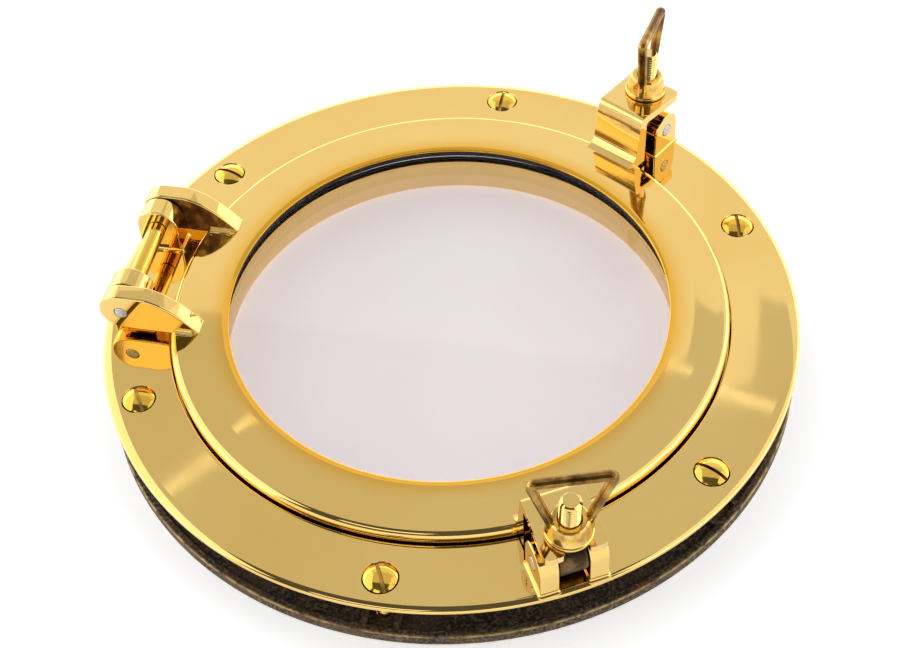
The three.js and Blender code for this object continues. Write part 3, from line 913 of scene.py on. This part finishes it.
def glazing():
    """The glass, the two rings of rubber that hold it, the main seal and the retaining ring."""
    low, high = GLASS_Z
    outer = REBATE_R - GAP
    pane = turned("pane", rounded([(0, low), (GLASS_R, low), (GLASS_R, high), (0, high)], 0.5))
    complete(pane, "ring", "glass_pane", "clear_glass", GLASS)
    lip = band("gasket_lip", LIGHT_R + 0.9, outer, high + 0.05, LIP_BACK - 0.05)
    complete(lip, "ring", "glass_gasket", "black_rubber", RUBBER)
    bead = band("bedding_bead", outer - 0.7, outer, HOLDER_TOP + 0.2, low - 0.1, 0.2)
    complete(bead, "ring", "glass_bedding_ring", "black_rubber", RUBBER)
    seal = band("sealing_bead", SEAL_R[0] + GAP, SEAL_R[1] - GAP, RING_BACK + 0.1, SEAL_TOP - GAP, 1.2)
    complete(seal, "ring", "main_seal", "black_rubber", RUBBER)
    holder = band("retaining_ring", HOLDER_BORE, outer, SKIRT_END, HOLDER_TOP)
    notch_wide, notch_deep = 5, 1.2
    notches = []
    for azimuth in (45, 135, 225, 315):
        notch = box("notch", (8, notch_wide, 2 * notch_deep), (91, 0, SKIRT_END))
        notches.append(moved(notch, Matrix.Rotation(math.radians(azimuth), 4, "Z")))
    holder = combined(holder, joined("notches", notches), "DIFFERENCE")
    complete(holder, "ring", "glass_retaining_ring", "polished_brass", BRASS)


# ---- Hinge pin and tube, dog pins, eye bolts and nuts ----


def hinge_parts():
    """The hinge pin and the tube between the knuckles."""
    half = EAR_Y[1] + PIN_PROUD
    pin = moved(laid(rod("pin_of_hinge", HINGE_PIN_R, -half, half)), Matrix.Translation(HINGE))
    complete(pin, "ring", "hinge_pin", "stainless_pin", STEEL)
    half = KNUCKLE_Y[0] - GAP
    bore = HINGE_PIN_R + GAP
    outline = rounded([(bore, -half), (TUBE_R, -half), (TUBE_R, half), (bore, half)], 0.2)
    tube = moved(laid(turned("tube_of_hinge", outline, 64)), Matrix.Translation(HINGE))
    complete(tube, "frame", "hinge_spacer_tube", "polished_brass", TUBE_BRASS)


def dog_parts(number):
    """A dog's pivot pin, its eye bolt and its nut with a loop."""
    place = dog_matrix(number)
    half = LUG_Y[1] + PIN_PROUD
    pin = moved(laid(rod(f"pivot_pin_{number}", DOG_PIN_R, -half, half)), place)
    complete(pin, "frame", f"dog_{number}_pivot_pin", "stainless_pin", STEEL)

    half = LUG_Y[0] - GAP
    bore = DOG_PIN_R + GAP
    outline = rounded([(bore, -half), (EYE_R, -half), (EYE_R, half), (bore, half)], 0.8)
    eye = laid(turned("eye", outline, 64))
    shank = threaded("shank", BOLT_R, 6, BOLT_END, *BOLT_THREAD)
    bolt = combined(eye, shank, "UNION")
    bolt.name = f"eye_bolt_{number}"
    # The eye below the shank gets the painted shade.
    repaint(bolt, 1, lambda centre, normal: centre.z < EYE_R)
    moved(bolt, place)
    complete(bolt, f"dog_{number}", f"dog_{number}_swing_bolt", "polished_brass", BRASS, EYE_SHADE_BRASS)

    outline = rounded(
        [
            (BOLT_R + GAP, NUT_BASE), (NUT_BASE_R, NUT_BASE), (NUT_BASE_R, NUT_BASE + 1.2),
            (8.2, NUT_BASE + 1.7), (7.6, 20.6), (6.9, NUT_TOP - 0.8), (6.1, NUT_TOP), (BOLT_R + GAP, NUT_TOP),
        ],
        0.5,
    )
    nut = turned("nut", outline, 96)
    corner = 2.6  # size of the rounded corners at the loop's cross bar
    foot, shoulder, peak = Vector((7.1, NUT_BASE + 2.0)), Vector((6.9, 22.6)), Vector((LOOP_HALF, LOOP_TOP))
    toward = (shoulder - peak).normalized() * corner
    half_path = [tuple(foot)] + curve(foot.lerp(shoulder, 0.7), shoulder, shoulder.lerp(peak, 0.12), 5)
    half_path += [tuple(shoulder.lerp(peak, share)) for share in (0.3, 0.5, 0.7)]
    half_path += curve(peak + toward, peak, peak - Vector((corner, 0)), 8)
    path = half_path + [(-x, z) for x, z in reversed(half_path)]
    nut = combined(nut, swept("loop", path, *LOOP_BAR), "UNION")
    nut = combined(nut, rod("bore", BOLT_R + GAP, NUT_BASE - 2, 40, 0.1), "DIFFERENCE")
    nut.name = f"loop_nut_{number}"

    def turned_part(centre, normal):
        """All of the nut but its loop."""
        return centre.z < NUT_TOP + 0.1 and centre.to_2d().length < NUT_BASE_R + 0.1

    repaint(nut, 1, turned_part)
    turn = Matrix.Rotation(math.radians(LOOP_TURNS[number - 1]), 4, "Z")
    moved(nut, place @ turn)
    complete(nut, f"dog_{number}_nut", f"dog_{number}_wing_nut", "cast_loop_brass", LOOP, NUT)


# ---- Studio ----


def floor():
    """A round pale sweep, in metres: flat under the porthole and curving up beyond the lights."""
    drop = 0.0005  # below the part, so that they don't share a plane
    outline = [(0.6, 0), *curve((3.4, 0), (5, 0), (6.2, 2.7), 12)]
    sides = 96
    bm = bmesh.new()
    rings = []
    for radius, height in outline:
        turns = [2 * math.pi * k / sides for k in range(sides)]
        rings.append([bm.verts.new((radius * math.cos(a), radius * math.sin(a), height)) for a in turns])
    bm.faces.new(rings[0])
    for inner, outer in zip(rings, rings[1:]):
        for k in range(sides):
            bm.faces.new((inner[k - 1], outer[k - 1], outer[k], inner[k]))
    sweep = make("floor", bm)
    for face in sweep.data.polygons:
        face.use_smooth = True
    moved(sweep, Matrix.Translation((0, 0, -drop)))
    sweep.data.materials.append(paper())


def softbox(name, centre, target, size, radiance):
    """A rectangular soft light, in metres. A mirror shows it radiance bright; the camera doesn't see it."""
    data = bpy.data.lights.new(name, "AREA")
    data.shape = "RECTANGLE"
    data.size, data.size_y = size
    data.energy = radiance * math.pi * size[0] * size[1]
    light = bpy.data.objects.new(name, data)
    light.location = centre
    light.rotation_euler = (Vector(target) - Vector(centre)).to_track_quat("-Z", "Y").to_euler()
    light.visible_camera = False
    bpy.context.scene.collection.objects.link(light)
    return light


def stripe(name, start, end, width, radiance):
    """A narrow light that hangs level. The polished tops reflect it as a bright band."""
    middle, along = (Vector(start) + Vector(end)) / 2, Vector(end) - Vector(start)
    light = softbox(name, middle, middle - Vector((0, 0, 1)), (along.length, width), radiance)
    light.rotation_euler = (0, 0, math.atan2(along.y, along.x))


def studio():
    """Soft panels, two stripes and a weak room light. Where radiance is 1, a perfect mirror shows white."""
    floor()
    wall, above = 0.92, 0.62
    softbox("back_left", (-0.57, 1.3, 0.81), (-0.57, 0, 0.81), (1.46, 1.62), wall)
    softbox("back_left_top", (-0.57, 1.3, 1.87), (-0.57, 0, 1.87), (1.46, 0.5), above)
    softbox("back_right", (0.73, 1.3, 0.71), (0.73, 0, 0.71), (1.14, 1.42), wall)
    softbox("back_right_top", (0.73, 1.3, 1.77), (0.73, 0, 1.77), (1.14, 0.7), above)
    stripe("right_stripe", (0.04, 1.205, 1.5), (0.231, 1.145, 1.5), 0.022, 0.5)
    stripe("left_stripe", (-0.57, 1.0, 1.5), (-0.68, 0.83, 1.5), 0.022, 0.5)
    softbox("ceiling", (0, 0.63, 2.12), (0, 0.63, 0), (2.6, 1.34), above)
    softbox("left_wall", (-1.3, 0.1, 1.06), (0, 0.1, 1.06), (2.4, 2.12), 1.5)
    softbox("right_wall", (1.3, 0.25, 1.06), (0, 0.25, 1.06), (2.1, 2.12), 1.12)
    softbox("front_strip", (-0.5, -1.62, 2.0), (0, 0, 0), (1.1, 0.5), 1.5)
    world = bpy.data.worlds.new("room")
    world.use_nodes = True
    background = world.node_tree.nodes["Background"]
    background.inputs["Color"].default_value = (0.9, 0.95, 1.0, 1)
    background.inputs["Strength"].default_value = 0.12
    bpy.context.scene.world = world
    bpy.context.scene.view_settings.view_transform = "Standard"


def camera():
    """The photographer's place: distance from the centre of the flange's cabin face, and angles."""
    distance = 0.6539  # metres
    elevation, azimuth, roll = (math.radians(degrees) for degrees in (48.346, 13.895, -3.995))
    back = Vector(
        (
            math.sin(azimuth) * math.cos(elevation),
            -math.cos(azimuth) * math.cos(elevation),
            math.sin(elevation),
        )
    )
    right = Vector((0, 0, 1)).cross(back).normalized()
    up = back.cross(right)
    rolled_right = right * math.cos(roll) + up * math.sin(roll)
    rolled_up = up * math.cos(roll) - right * math.sin(roll)
    data = bpy.data.cameras.new("camera")
    data.lens = 64.59
    data.sensor_width = 36
    data.shift_x, data.shift_y = 0.00125, -0.0163
    data.clip_start, data.clip_end = 0.05, 20
    viewer = bpy.data.objects.new("camera", data)
    pose = Matrix((rolled_right, rolled_up, back)).transposed().to_4x4()
    pose.translation = Vector((0, 0, FLANGE_TOP * MM)) + back * distance
    viewer.matrix_world = pose
    bpy.context.scene.collection.objects.link(viewer)
    bpy.context.scene.camera = viewer


frame_casting()
clamp_ring_casting()
for index, spot in enumerate(screw_places()):
    flange_screw(index, spot)
swing_ring()
glazing()
hinge_parts()
dog_parts(1)
dog_parts(2)
studio()
camera()
